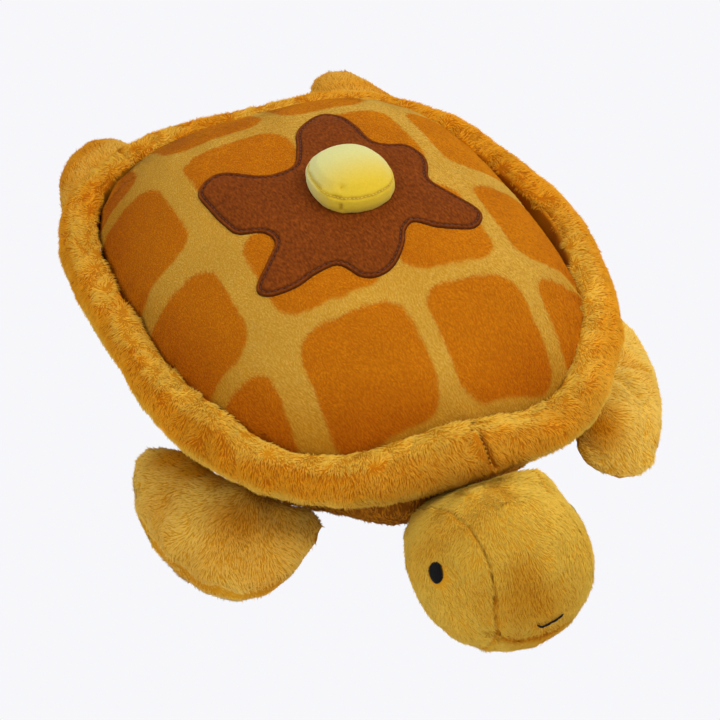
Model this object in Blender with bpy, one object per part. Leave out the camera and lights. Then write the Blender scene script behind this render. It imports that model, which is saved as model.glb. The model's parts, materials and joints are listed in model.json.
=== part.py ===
# A plush turtle with a waffle shell: sewn panels of plush over loose stuffing.
# The head and the four flippers bend at the seams that join them to the body.
# Metres, +Z up. The head points along -Y and the turtle's left is +X.
import math

import bpy
from mathutils import Matrix, Vector

for leftover in list(bpy.data.objects):
    bpy.data.objects.remove(leftover)

mm = 0.001

# The cloth
plush_thickness = 1.6 * mm
seam_gap = 0.3 * mm
sharp_seam_angle = 50
longest_normal = 2
stuffing_gap = 0.5 * mm

# The padded rim, an oval that is squarer at the rear than at the front. Its section is
# round but for the side that is sewn to the body, which its first and last rows meet.
rim_half_width = 157 * mm
rim_half_length = 196.5 * mm
rim_height = 86 * mm
rim_radius = 15 * mm
front_squareness = 2.63
rear_squareness = 3.26
rim_columns = 48
small_turn = 0.001
rim_rows = 10

# The dome above the rim and the belly below it share one seam at the rim's height
dome_rise = 73 * mm
dome_power = 3.0
dome_bluntness = 0.72
belly_flat_share = 0.66
body_columns = 44
dome_rows = 10
belly_rows = 4

# The patches on top of the dome, a little behind its middle
topping_shift = 9 * mm
syrup_reach = 82 * mm
syrup_thickness = 1.5 * mm
patch_gap = 0.8 * mm
syrup_rings = 5
syrup_middle_shares = (0.0, -0.1)
syrup_outline_shares = (
    (-0.96, 0.02), (-0.91, -0.13), (-0.74, -0.24), (-0.71, -0.39), (-0.85, -0.54),
    (-1.02, -0.71), (-0.96, -0.83), (-0.76, -0.87), (-0.56, -0.83), (-0.37, -0.83),
    (-0.26, -1.00), (-0.12, -1.04), (0.04, -0.98), (0.20, -0.82), (0.29, -0.68),
    (0.40, -0.62), (0.56, -0.73), (0.82, -0.79), (0.98, -0.68), (0.99, -0.55),
    (0.88, -0.38), (0.78, -0.17), (0.87, 0.04), (0.89, 0.18), (0.82, 0.32),
    (0.65, 0.37), (0.56, 0.46), (0.55, 0.70), (0.50, 0.93), (0.34, 1.02),
    (0.07, 0.84), (-0.05, 0.60), (-0.17, 0.39), (-0.33, 0.34), (-0.49, 0.38),
    (-0.76, 0.60), (-0.98, 0.51), (-0.99, 0.26),
)
butter_aside = 6 * mm
butter_half_size = 28 * mm
butter_height = 22 * mm
butter_thickness = 1.5 * mm
butter_squareness = 3.2
butter_columns = 20
# Each ring from the middle of the base to the middle of the top: width and height
butter_ring_shares = (
    (0.55, 0.0), (0.93, 0.0), (1.0, 0.30), (0.97, 0.66), (0.74, 0.90), (0.38, 0.99),
)
butter_base_rings = 2
butter_band_rings = 4

# The head, a ball that narrows in height to the neck and is turned to its left
head_radius = 55 * mm
head_floor_gap = 4 * mm
head_ahead = 61 * mm
head_aside = -12 * mm
head_turn = 5
neck_height = 46 * mm
neck_tuck = 0.3 * mm
neck_pivot_depth = 10 * mm
neck_thinning_share = 0.64
head_columns = 20
gusset_right_angle = 31
gusset_left_angle = 45
gusset_taper_share = 0.2
gusset_rings = 2
side_rings = 3
chin_column = 11

# The embroidered eyes and mouth lie on the head
thread_thickness = 0.8 * mm
eye_half_width = 3.8 * mm
eye_half_height = 5.8 * mm
eye_columns = 12
eye_right_shares = (-0.900, -0.040, 0.434)
eye_left_shares = (0.970, -0.040, 0.240)
mouth_half_length = 8 * mm
mouth_half_width = 0.9 * mm
mouth_sag = 2 * mm
mouth_shares = (-0.046, -0.994, 0.097)
mouth_columns = 8
mouth_taper_share = 0.5

# The flippers: each outline is out from its seam and along it, towards the front
flipper_root_height = 42 * mm
flipper_tuck = 1.25 * mm
flipper_hinge_rise = 1.5 * mm
flipper_floor_gap = 2 * mm
flipper_fall = 66 * mm
flipper_rings = 5
root_thickness_share = 0.62
pillow_power = 2.2

front_reach = 75 * mm
front_half_thickness = 22 * mm
front_root_angle = 29.5
front_root_shares = (-0.14, 0.50)
front_left_middle_shares = (0.36, -0.20)
front_left_outline_shares = (
    (0.00, -0.14), (0.06, -0.36), (0.08, -0.62), (0.06, -0.90), (0.06, -1.14),
    (0.16, -1.29), (0.36, -1.28), (0.52, -1.09), (0.64, -0.80), (0.73, -0.42),
    (0.76, -0.07), (0.74, 0.25), (0.68, 0.50), (0.57, 0.71), (0.42, 0.81),
    (0.22, 0.77), (0.04, 0.58), (-0.03, 0.24),
)
front_right_middle_shares = (0.46, -0.20)
front_right_outline_shares = (
    (0.00, -0.14), (0.00, -0.36), (-0.04, -0.62), (-0.11, -0.86), (-0.15, -1.08),
    (-0.06, -1.24), (0.14, -1.23), (0.38, -1.06), (0.62, -0.82), (0.82, -0.50),
    (0.93, -0.15), (0.97, 0.19), (0.89, 0.52), (0.68, 0.72), (0.42, 0.80),
    (0.16, 0.76), (-0.04, 0.57), (-0.04, 0.24),
)
rear_reach = 150 * mm
rear_half_thickness = 20 * mm
rear_root_angle = -56
rear_root_shares = (-0.15, 0.13)
rear_left_middle_shares = (0.53, -0.13)
rear_left_outline_shares = (
    (0.00, 0.13), (-0.02, 0.00), (0.00, -0.16), (0.09, -0.23), (0.24, -0.28),
    (0.41, -0.34), (0.60, -0.40), (0.78, -0.45), (0.93, -0.45), (1.01, -0.40),
    (1.04, -0.29), (0.95, -0.15), (0.81, 0.02), (0.61, 0.13), (0.40, 0.17),
    (0.19, 0.17),
)
rear_right_middle_shares = (0.37, -0.30)
rear_right_outline_shares = (
    (0.00, 0.13), (-0.02, 0.00), (0.00, -0.16), (0.08, -0.25), (0.20, -0.37),
    (0.33, -0.52), (0.45, -0.64), (0.57, -0.72), (0.67, -0.72), (0.74, -0.65),
    (0.72, -0.50), (0.63, -0.30), (0.53, -0.13), (0.38, 0.03), (0.19, 0.13),
)

# Colours, roughness
plush_gold = (0.56, 0.27, 0.035, 1)
plush_waffle = (0.42, 0.13, 0.008, 1)
plush_syrup = (0.24, 0.055, 0.014, 1)
plush_butter = (0.80, 0.66, 0.16, 1)
thread_black = (0.012, 0.011, 0.012, 1)
stuffing_white = (0.85, 0.84, 0.80, 1)
plush_roughness = 0.95
thread_roughness = 0.6

# Sizes that follow from the ones above
rim_seat = rim_radius * math.cos(2 * math.pi / rim_rows) + seam_gap
body_half_width = rim_half_width - rim_seat
body_half_length = rim_half_length - rim_seat
stuffing_depth = plush_thickness + stuffing_gap
dome_top = rim_height + dome_rise
head_height = head_radius + head_floor_gap
head_y = -rim_half_length - head_ahead


def squareness(y):
    return front_squareness if y < 0 else rear_squareness


def oval(half_width, half_length, angle):
    x, y = math.cos(angle), math.sin(angle)
    power = squareness(y)
    reach = (abs(x) ** power + abs(y) ** power) ** (-1 / power)
    return Vector((half_width * reach * x, half_length * reach * y, 0))


def oval_normal(half_width, half_length, angle):
    before = oval(half_width, half_length, angle - small_turn)
    along = oval(half_width, half_length, angle + small_turn) - before
    return Vector((along.y, -along.x, 0)).normalized()


def turns(count):
    return [2 * math.pi * step / count for step in range(count)]


def dome_height(x, y):
    power = squareness(y)
    share = (abs(x / body_half_width) ** power + abs(y / body_half_length) ** power) ** (1 / power)
    return rim_height + dome_rise * max(0, 1 - share**dome_power) ** dome_bluntness


def belly_share(height):
    lift = math.acos(1 - height / rim_height)
    return belly_flat_share + (1 - belly_flat_share) * math.sin(lift)


# A skin is its points, its faces, wound to face out, and the ring and column of each face.
# Its rings are given from pole to pole, and the faces at the first pole are ring -1.
def loft(rings, first_pole=None, last_pole=None, joined=True):
    count = len(rings[0])
    points = [point for ring in rings for point in ring]
    faces, cells = [], []
    for ring in range(len(rings) - 1):
        for column in range(count if joined else count - 1):
            low, high = ring * count, (ring + 1) * count
            after = (column + 1) % count
            faces.append((low + column, low + after, high + after))
            faces.append((low + column, high + after, high + column))
            cells += [(ring, column)] * 2
    top = (len(rings) - 1) * count
    if first_pole is not None:
        points.append(first_pole)
        faces += [(len(points) - 1, (column + 1) % count, column) for column in range(count)]
        cells += [(-1, column) for column in range(count)]
    if last_pole is not None:
        points.append(last_pole)
        faces += [(top + column, top + (column + 1) % count, len(points) - 1) for column in range(count)]
        cells += [(len(rings) - 1, column) for column in range(count)]
    return points, faces, cells


# The normal at a sharp corner is longer, so that a depth along it is a depth below each face
def point_normals(points, faces):
    totals = [Vector((0, 0, 0)) for _ in points]
    areas = [0] * len(points)
    for face in faces:
        a, b, c = (points[corner] for corner in face)
        across = (b - a).cross(c - a)
        for corner in face:
            totals[corner] += across
            areas[corner] += across.length
    return [
        total.normalized() * min(longest_normal, area / total.length)
        for total, area in zip(totals, areas)
    ]


def edges_of(face):
    return list(zip(face, face[1:] + face[:1]))


def open_edges(faces):
    edges = {edge for face in faces for edge in edges_of(face)}
    return [(a, b) for a, b in edges if (b, a) not in edges]


def material(name, colour, roughness):
    made = bpy.data.materials.new(name)
    made.diffuse_color = colour
    made.use_nodes = True
    shader = made.node_tree.nodes["Principled BSDF"]
    shader.inputs["Base Color"].default_value = colour
    shader.inputs["Roughness"].default_value = roughness
    shader.inputs["Metallic"].default_value = 0
    return made


def solid(name, points, faces, colour, roughness, parent):
    mesh = bpy.data.meshes.new(name)
    mesh.from_pydata([tuple(point) for point in points], [], faces)
    mesh.materials.append(material(name, colour, roughness))
    mesh.shade_smooth()
    mesh.set_sharp_from_angle(angle=math.radians(sharp_seam_angle))
    made = bpy.data.objects.new(name, mesh)
    bpy.context.collection.objects.link(made)
    made.parent = parent
    return made


def whole(ring, column):
    return True


# A panel is the cells of a skin that belong to it, drawn in at the seams and given a thickness
def panel(name, skin, belongs, thickness, colour, parent, roughness=plush_roughness):
    points, faces, cells = skin
    normals = point_normals(points, faces)
    faces = [face for face, cell in zip(faces, cells) if belongs(*cell)]
    border = open_edges(faces)
    along = [Vector((0, 0, 0)) for _ in points]
    for a, b in border:
        along[a] += (points[b] - points[a]).normalized()
        along[b] += (points[b] - points[a]).normalized()
    used = sorted({corner for face in faces for corner in face})
    place = {corner: index for index, corner in enumerate(used)}
    outer = [
        points[corner] + normals[corner].cross(along[corner]).normalized() * (seam_gap / 2)
        for corner in used
    ]
    inner = [point - normals[corner] * thickness for point, corner in zip(outer, used)]
    under = len(used)
    closed = [tuple(place[corner] for corner in face) for face in faces]
    closed += [tuple(place[corner] + under for corner in reversed(face)) for face in faces]
    closed += [(place[b], place[a], place[a] + under, place[b] + under) for a, b in border]
    return solid(name, outer + inner, closed, colour, roughness, parent)


def stuffing(name, skin, parent):
    points, faces, cells = skin
    normals = point_normals(points, faces)
    shrunk = [point - normal * stuffing_depth for point, normal in zip(points, normals)]
    return solid(name, shrunk, faces, stuffing_white, plush_roughness, parent)


def hinge(name, location, turn, parent):
    made = bpy.data.objects.new(name, None)
    bpy.context.collection.objects.link(made)
    made.parent = parent
    made.location = location
    made.rotation_euler = (0, 0, turn)
    return made


def body_skin():
    rings = []
    for row in range(belly_rows + 1):
        lift = math.pi / 2 * row / belly_rows
        share = belly_flat_share + (1 - belly_flat_share) * math.sin(lift)
        height = rim_height * (1 - math.cos(lift))
        ring = [oval(body_half_width, body_half_length, angle) * share for angle in turns(body_columns)]
        rings.append([point + Vector((0, 0, height)) for point in ring])
    for row in range(1, dome_rows):
        share = math.cos(math.pi / 2 * row / dome_rows)
        ring = [oval(body_half_width, body_half_length, angle) * share for angle in turns(body_columns)]
        rings.append([Vector((point.x, point.y, dome_height(point.x, point.y))) for point in ring])
    return loft(rings, Vector((0, 0, 0)), Vector((0, 0, dome_top)))


def on_dome(ring, column):
    return ring >= belly_rows


def on_belly(ring, column):
    return ring < belly_rows


def add_body(parent):
    skin = body_skin()
    panel("shell_cover", skin, on_dome, plush_thickness, plush_waffle, parent)
    panel("belly_panel", skin, on_belly, plush_thickness, plush_gold, parent)
    stuffing("body_filling", skin, parent)


def rim_ring(angle, radius):
    outward = oval_normal(body_half_width, body_half_length, angle)
    centre = oval(body_half_width, body_half_length, angle) + outward * rim_seat
    ring = []
    for row in range(1, rim_rows):
        lean = math.pi - 2 * math.pi * row / rim_rows
        offset = outward * math.cos(lean) + Vector((0, 0, math.sin(lean)))
        ring.append(centre + offset * radius + Vector((0, 0, rim_height)))
    return ring


# The rim's cover is a strip closed round the stuffing, open towards the seam that holds it
def add_rim(parent):
    sweep = [-math.pi / 2 + 2 * math.pi * step / rim_columns for step in range(rim_columns + 1)]
    strip = loft([rim_ring(angle, rim_radius) for angle in sweep], joined=False)
    panel("rim_cover", strip, whole, plush_thickness, plush_gold, parent)
    rings = [rim_ring(angle, rim_radius - stuffing_depth) for angle in sweep[:-1]]
    points, faces, cells = loft(rings)
    rows = rim_rows - 1
    last = len(points) - rows
    for row in range(rows):
        after = (row + 1) % rows
        faces += [(last + row, last + after, after), (last + row, after, row)]
    solid("rim_filling", points, faces, stuffing_white, plush_roughness, parent)


def add_syrup(parent):
    lift = patch_gap + syrup_thickness
    shift = Vector((0, topping_shift))
    middle = Vector(syrup_middle_shares) * syrup_reach + shift
    outline = [Vector(shares) * syrup_reach + shift for shares in syrup_outline_shares]
    rings = []
    for ring in range(syrup_rings, 0, -1):
        share = ring / syrup_rings
        flat = [middle + (point - middle) * share for point in outline]
        rings.append([Vector((x, y, dome_height(x, y) + lift)) for x, y in flat])
    top = Vector((middle.x, middle.y, dome_height(*middle) + lift))
    skin = loft(rings, last_pole=top)
    panel("syrup_patch", skin, whole, syrup_thickness, plush_syrup, parent)


def butter_point(width_share, height_share, angle):
    x, y = math.cos(angle), math.sin(angle)
    reach = (abs(x) ** butter_squareness + abs(y) ** butter_squareness) ** (-1 / butter_squareness)
    x = x * reach * butter_half_size * width_share + butter_aside
    y = y * reach * butter_half_size * width_share + topping_shift
    seat = dome_height(x, y) + syrup_thickness + 2 * patch_gap
    return Vector((x, y, seat + butter_height * height_share))


def on_butter_base(ring, column):
    return ring < butter_base_rings - 1


def on_butter_band(ring, column):
    return butter_base_rings - 1 <= ring < butter_band_rings - 1


def on_butter_top(ring, column):
    return ring >= butter_band_rings - 1


def add_butter(parent):
    rings = []
    for width_share, height_share in butter_ring_shares:
        rings.append([butter_point(width_share, height_share, angle) for angle in turns(butter_columns)])
    skin = loft(rings, butter_point(0, 0, 0), butter_point(0, 1, 0))
    panel("butter_base", skin, on_butter_base, butter_thickness, plush_butter, parent)
    panel("butter_band", skin, on_butter_band, butter_thickness, plush_butter, parent)
    panel("butter_top", skin, on_butter_top, butter_thickness, plush_butter, parent)
    stuffing("butter_filling", skin, parent)


neck_end = neck_tuck - body_half_length * belly_share(neck_height)
neck_length = neck_end - head_y
pivot = Vector((head_aside, neck_end - neck_pivot_depth, neck_height))


# Takes a direction from the head's middle, as seen from the turned face, to a point on the head
def head_point(direction):
    direction = direction.normalized()
    turn = math.radians(head_turn) * (1 - max(0, direction.y))
    turned = Matrix.Rotation(turn, 3, "Z") @ direction
    back = max(0, turned.y)
    slide = back * back * (3 - 2 * back)
    height = head_height + (neck_height - head_height) * slide
    return Vector((
        head_aside + turned.x * head_radius,
        head_y + turned.y * (neck_length if turned.y > 0 else head_radius),
        height + turned.z * head_radius * (1 - neck_thinning_share * slide),
    )) - pivot


# The angles, from the head's middle line, of the rings up to a seam and past it to the side's middle
def head_tilts(seam):
    side = math.copysign(90, seam) - seam
    tilts = [seam * step / gusset_rings for step in range(1, gusset_rings + 1)]
    return tilts + [seam + side * step / side_rings for step in range(1, side_rings)]


def head_skin():
    rings = []
    for tilt in head_tilts(-gusset_right_angle)[::-1] + [0] + head_tilts(gusset_left_angle):
        ring = []
        for angle in turns(head_columns):
            narrowing = gusset_taper_share * (1 + math.cos(angle)) / 2 * math.cos(math.radians(tilt))
            lean = math.radians(tilt * (1 - narrowing))
            ahead, up = math.cos(angle), math.sin(angle)
            ring.append(head_point(Vector((math.sin(lean), math.cos(lean) * ahead, math.cos(lean) * up))))
        rings.append(ring)
    return loft(rings, head_point(Vector((-1, 0, 0))), head_point(Vector((1, 0, 0))))


# Thread lies on the head: each of its points is an offset across and up from a direction
def on_head(direction, across_by, up_by):
    across = Vector((0, 0, 1)).cross(direction).normalized()
    up = direction.cross(across).normalized()
    aim = direction + (across * across_by + up * up_by) / head_radius
    point = head_point(aim)
    side = head_point(aim + across * seam_gap / head_radius) - point
    rise = head_point(aim + up * seam_gap / head_radius) - point
    return point + side.cross(rise).normalized() * (thread_thickness + seam_gap)


def add_eye(name, shares, parent):
    direction = Vector(shares).normalized()
    outline = [
        on_head(direction, eye_half_width * math.cos(turn), eye_half_height * math.sin(turn))
        for turn in turns(eye_columns)
    ]
    skin = loft([outline], last_pole=on_head(direction, 0, 0))
    panel(name, skin, whole, thread_thickness, thread_black, parent, thread_roughness)


def add_mouth(parent):
    direction = Vector(mouth_shares).normalized()
    rings = []
    for edge in (-1, 1):
        ring = []
        for step in range(mouth_columns + 1):
            share = 2 * step / mouth_columns - 1
            width = mouth_half_width * (1 - mouth_taper_share * share**2)
            ring.append(on_head(direction, mouth_half_length * share, mouth_sag * share**2 + edge * width))
        rings.append(ring)
    skin = loft(rings, joined=False)
    panel("mouth", skin, whole, thread_thickness, thread_black, parent, thread_roughness)


head_rows = 2 * (gusset_rings + side_rings - 1)


def on_head_right(ring, column):
    return ring < side_rings - 1


def on_head_left(ring, column):
    return ring >= head_rows - side_rings + 1


def on_head_centre(ring, column):
    return not on_head_right(ring, column) and not on_head_left(ring, column) and column < chin_column


def on_head_chin(ring, column):
    return not on_head_right(ring, column) and not on_head_left(ring, column) and column >= chin_column


def add_head(parent):
    joint = hinge("head_joint", pivot, 0, parent)
    skin = head_skin()
    panel("head_right_panel", skin, on_head_right, plush_thickness, plush_gold, joint)
    panel("head_left_panel", skin, on_head_left, plush_thickness, plush_gold, joint)
    panel("head_centre_panel", skin, on_head_centre, plush_thickness, plush_gold, joint)
    panel("head_chin_panel", skin, on_head_chin, plush_thickness, plush_gold, joint)
    stuffing("head_filling", skin, joint)
    add_eye("eye_right", eye_right_shares, joint)
    add_eye("eye_left", eye_left_shares, joint)
    add_mouth(joint)


# A flipper is a pillow that lies on the floor and rises to its seam on the body
def flipper_skin(shape, side):
    reach, half_thickness, root_shares, middle_shares, outline_shares = shape
    middle = Vector(middle_shares) * reach
    root_low, root_high = root_shares[0] * reach, root_shares[1] * reach
    outline = [Vector(shares) * reach for shares in outline_shares]
    rest_height = half_thickness + flipper_floor_gap

    def placed(flat, puff):
        beside = max(0, root_low - flat.y, flat.y - root_high)
        away = min(1, math.hypot(flat.x, beside) / flipper_fall)
        lift = (flipper_root_height - rest_height) * (1 + math.cos(math.pi * away)) / 2
        fatness = root_thickness_share + (1 - root_thickness_share) * away * away * (3 - 2 * away)
        height = rest_height + lift + puff * half_thickness * fatness
        return Vector((flat.x, -side * flat.y, height - flipper_root_height - flipper_hinge_rise))

    if side > 0:
        outline.reverse()
    shares = [math.sin(math.pi / 2 * (ring + 1) / flipper_rings) for ring in range(flipper_rings)]
    puffs = [max(0, 1 - share**pillow_power) ** 0.5 for share in shares]
    rings = []
    for share, puff in zip(shares, puffs):
        rings.append([placed(middle + (point - middle) * share, -puff) for point in outline])
    for share, puff in list(zip(shares, puffs))[-2::-1]:
        rings.append([placed(middle + (point - middle) * share, puff) for point in outline])
    return loft(rings, placed(middle, -1), placed(middle, 1))


def on_flipper_bottom(ring, column):
    return ring < flipper_rings - 1


def on_flipper_top(ring, column):
    return ring >= flipper_rings - 1


# The point of the belly's wall, at the height of the flippers' seams, that is farthest that way
def belly_wall(out):
    share = belly_share(flipper_root_height)
    wall = [oval(body_half_width, body_half_length, angle) * share for angle in turns(8 * body_columns)]
    return max(wall, key=lambda point: point.dot(out))


def add_flipper(name, side, root_angle, shape, parent):
    reach, half_thickness, root_shares, middle_shares, outline_shares = shape
    out = Vector((side * math.cos(math.radians(root_angle)), -math.sin(math.radians(root_angle)), 0))
    root = [x for x, y in outline_shares if root_shares[0] < y < root_shares[1]]
    overhang = -min(root) * reach
    seat = belly_wall(out) + out * (overhang - flipper_tuck)
    seat.z = flipper_root_height + flipper_hinge_rise
    joint = hinge(name + "_joint", seat, math.atan2(out.y, out.x), parent)
    skin = flipper_skin(shape, side)
    panel(name + "_bottom_panel", skin, on_flipper_bottom, plush_thickness, plush_gold, joint)
    panel(name + "_top_panel", skin, on_flipper_top, plush_thickness, plush_gold, joint)
    stuffing(name + "_filling", skin, joint)


def add_flippers(parent):
    front = (front_reach, front_half_thickness, front_root_shares)
    rear = (rear_reach, rear_half_thickness, rear_root_shares)
    front_left = front + (front_left_middle_shares, front_left_outline_shares)
    front_right = front + (front_right_middle_shares, front_right_outline_shares)
    rear_left = rear + (rear_left_middle_shares, rear_left_outline_shares)
    rear_right = rear + (rear_right_middle_shares, rear_right_outline_shares)
    add_flipper("front_left", 1, front_root_angle, front_left, parent)
    add_flipper("front_right", -1, front_root_angle, front_right, parent)
    add_flipper("rear_left", 1, rear_root_angle, rear_left, parent)
    add_flipper("rear_right", -1, rear_root_angle, rear_right, parent)


# The frame's origin is under the middle of the whole toy's length and width
toy = hinge("turtle", Vector((0, 0, 0)), 0, None)
add_body(toy)
add_rim(toy)
add_syrup(toy)
add_butter(toy)
add_head(toy)
add_flippers(toy)
bpy.context.view_layer.update()
pieces = [made for made in bpy.data.objects if made.type == "MESH"]
corners = [made.matrix_world @ vertex.co for made in pieces for vertex in made.data.vertices]
for axis in (0, 1):
    places = [corner[axis] for corner in corners]
    toy.location[axis] = -(min(places) + max(places)) / 2
bpy.context.view_layer.update()
for made in bpy.data.objects:
    if made.type == "EMPTY":
        print(made.name, [round(value, 5) for value in made.matrix_world.translation])
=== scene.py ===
import bpy
import json
import math
import numpy as np
from mathutils import Matrix, Vector, geometry
from mathutils.bvhtree import BVHTree


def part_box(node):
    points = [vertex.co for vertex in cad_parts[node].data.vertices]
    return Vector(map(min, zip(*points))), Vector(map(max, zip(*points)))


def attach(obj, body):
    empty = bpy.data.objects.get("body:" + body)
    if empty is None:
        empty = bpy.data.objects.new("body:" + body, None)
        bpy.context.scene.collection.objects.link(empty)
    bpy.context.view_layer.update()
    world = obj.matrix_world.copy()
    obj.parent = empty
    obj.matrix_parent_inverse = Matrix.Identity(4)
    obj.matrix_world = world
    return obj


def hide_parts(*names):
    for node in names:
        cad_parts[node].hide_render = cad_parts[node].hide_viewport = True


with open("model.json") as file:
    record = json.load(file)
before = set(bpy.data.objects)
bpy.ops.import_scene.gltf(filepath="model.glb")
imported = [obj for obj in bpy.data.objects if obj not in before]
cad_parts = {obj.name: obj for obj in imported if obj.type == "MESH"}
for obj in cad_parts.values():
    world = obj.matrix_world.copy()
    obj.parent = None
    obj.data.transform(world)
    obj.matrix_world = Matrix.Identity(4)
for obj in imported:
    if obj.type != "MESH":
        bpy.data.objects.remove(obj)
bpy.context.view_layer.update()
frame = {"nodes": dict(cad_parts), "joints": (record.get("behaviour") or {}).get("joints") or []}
mm = 0.001

# the middle of the shell on the floor, from which the waffle pattern is measured
shellMiddle = np.array([-0.5, 7.7]) * mm

camera = {"place": (-0.4839, -1.0755, 1.0391), "azimuth": -24.81, "elevation": 41.03, "lens": 111.8,
          "sensor": 36.0, "frame": 720}


# small tools

def pickOnly(*objects):
    bpy.ops.object.select_all(action="DESELECT")
    for each in objects:
        each.select_set(True)
    bpy.context.view_layer.objects.active = objects[0]


def points(form):
    found = np.zeros(len(form.data.vertices) * 3)
    form.data.vertices.foreach_get("co", found)
    return found.reshape(-1, 3)


def setPoints(form, places):
    form.data.vertices.foreach_set("co", np.asarray(places, np.float32).ravel())
    form.data.update()


def normals(form):
    found = np.zeros(len(form.data.vertices) * 3, np.float32)
    form.data.vertices.foreach_get("normal", found)
    return found.reshape(-1, 3).astype(float)


# moves every point along its own normal
def push(form, amount):
    setPoints(form, points(form) + normals(form) * amount[:, None])


def unit(rows):
    return rows / np.maximum(np.linalg.norm(rows, axis=-1, keepdims=True), 1e-9)


def smoothStep(low, high, value):
    share = np.clip((value - low) / (high - low), 0, 1)
    return share * share * (3 - 2 * share)


# soft, seeded waves that stand in for the unevenness of hand stuffing and brushed pile
def waves(places, size, seed, count=9):
    rng = np.random.default_rng(seed)
    total = np.zeros(len(places))
    for _ in range(count):
        way = rng.normal(size=3)
        way *= 2 * math.pi / size * rng.uniform(0.6, 1.4) / np.linalg.norm(way)
        total += np.sin(places @ way + rng.uniform(0, 2 * math.pi))
    return total / math.sqrt(count / 2)


def addAttribute(form, name, values):
    layer = form.data.attributes.get(name) or form.data.attributes.new(name, "FLOAT", "POINT")
    layer.data.foreach_set("value", np.asarray(values, np.float32))


def linked(name, data):
    made = bpy.data.objects.new(name, data)
    bpy.context.scene.collection.objects.link(made)
    return made


def newForm(name, corners, faces):
    mesh = bpy.data.meshes.new(name)
    mesh.from_pydata([tuple(c) for c in corners], [], [tuple(f) for f in faces])
    return linked(name, mesh)


def treeOf(*meshes):
    corners, faces = [], []
    for mesh in meshes:
        start = len(corners)
        corners += [v.co.copy() for v in mesh.vertices]
        faces += [tuple(start + i for i in p.vertices) for p in mesh.polygons]
    return BVHTree.FromPolygons(corners, faces)


def awayFrom(places, *names):
    tree = treeOf(*[frame["nodes"][name].data for name in names])
    return np.array([tree.find_nearest(Vector(p))[3] for p in places])


# how far each point lies from the nearest seam between two cut panels
def seamReach(places, names):
    away = np.sort([awayFrom(places, name) for name in names], axis=0)
    return away[1] - away[0]


def cameraAxes():
    az, el = math.radians(camera["azimuth"]), math.radians(camera["elevation"])
    back = Vector((math.sin(az) * math.cos(el), -math.cos(az) * math.cos(el), math.sin(el)))
    right = Vector((0, 0, 1)).cross(back).normalized()
    return right, back.cross(right), back


# where the lines of sight through some pixels of the frame meet a form
def underPixels(form, pixels):
    tree = treeOf(form.data)
    right, up, back = cameraAxes()
    far = camera["lens"] / camera["sensor"] * camera["frame"]
    found = []
    for x, y in pixels:
        way = right * (x - camera["frame"] / 2) - up * (y - camera["frame"] / 2) - back * far
        hit = tree.ray_cast(Vector(camera["place"]), way.normalized())[0]
        if hit is not None:
            found.append(np.array(hit))
    return found


def awayFromLine(places, line):
    best = np.full(len(places), 1.0)
    for a, b in zip(line, line[1:] or line):
        step = b - a
        share = np.clip((places - a) @ step / max(step @ step, 1e-12), 0, 1)
        best = np.minimum(best, np.linalg.norm(places - a - share[:, None] * step, axis=1))
    return best


# works on all of a form in edit mode
def edited(form, act, **values):
    pickOnly(form)
    bpy.ops.object.mode_set(mode="EDIT")
    bpy.ops.mesh.select_all(action="SELECT")
    act(**values)
    bpy.ops.object.mode_set(mode="OBJECT")


# splits the faces near the narrow ones of some lines of pixels, so that a seam can be drawn there
def refined(form, marks):
    for pixels, _, width in marks:
        line = underPixels(form, pixels)
        if width > 2.5 or not line:
            continue
        near = awayFromLine(points(form), line) < 5 * width * mm
        pickOnly(form)
        bpy.ops.object.mode_set(mode="EDIT")
        bpy.ops.mesh.select_all(action="DESELECT")
        bpy.ops.object.mode_set(mode="OBJECT")
        for polygon in form.data.polygons:
            polygon.select = bool(near[list(polygon.vertices)].all())
        bpy.ops.object.mode_set(mode="EDIT")
        bpy.ops.mesh.subdivide(number_cuts=1, smoothness=0.0)
        bpy.ops.object.mode_set(mode="OBJECT")


# presses a valley into a form along each line of pixels, or a swelling where the depth is below zero
def fold(form, marks):
    nearest = np.full(len(form.data.vertices), 1.0)
    for pixels, depth, width in marks:
        line = underPixels(form, pixels)
        if not line:
            print(form.name, "has nothing under", pixels)
            continue
        away = awayFromLine(points(form), line)
        push(form, -depth * mm * np.exp(-(away / width / mm) ** 2))
        nearest = np.minimum(nearest, away)
    return nearest


# the sum of some soft round swellings in metres, each of them a pixel, a size and an amount
def spots(form, marks):
    total = np.zeros(len(form.data.vertices))
    for x, y, size, amount in marks:
        for centre in underPixels(form, [(x, y)]):
            away = np.linalg.norm(points(form) - centre, axis=1)
            total += amount * mm * np.exp(-(away / size / mm) ** 2)
    return total


# how strongly each point belongs to some round patches, each of them a pixel, a size and a strength
def patchShare(form, marks):
    total = np.zeros(len(form.data.vertices))
    for x, y, size, strength in marks:
        for centre in underPixels(form, [(x, y)]):
            away = np.linalg.norm(points(form) - centre, axis=1)
            total = np.maximum(total, strength * np.exp(-(away / size / mm) ** 2))
    return total


def joinedCopy(name, nodes):
    copies = [linked(name + "_" + node, frame["nodes"][node].data.copy()) for node in nodes]
    pickOnly(*copies)
    if len(copies) > 1:
        bpy.ops.object.join()
    form = bpy.context.object
    form.name = name
    form.data.name = name
    form.data.materials.clear()
    edited(form, bpy.ops.mesh.remove_doubles, threshold=0.01 * mm)
    return form


def applied(form, kind, **values):
    pickOnly(form)
    modifier = form.modifiers.new(kind.title(), kind)
    for key, value in values.items():
        setattr(modifier, key, value)
    bpy.ops.object.modifier_apply(modifier=modifier.name)
    return form


# smoothing that takes away facets and keeps the form's size
def evened(form, rounds):
    for _ in range(rounds):
        applied(form, "SMOOTH", factor=0.6, iterations=1)
        applied(form, "SMOOTH", factor=-0.62, iterations=1)


clothSteps = 20


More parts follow.
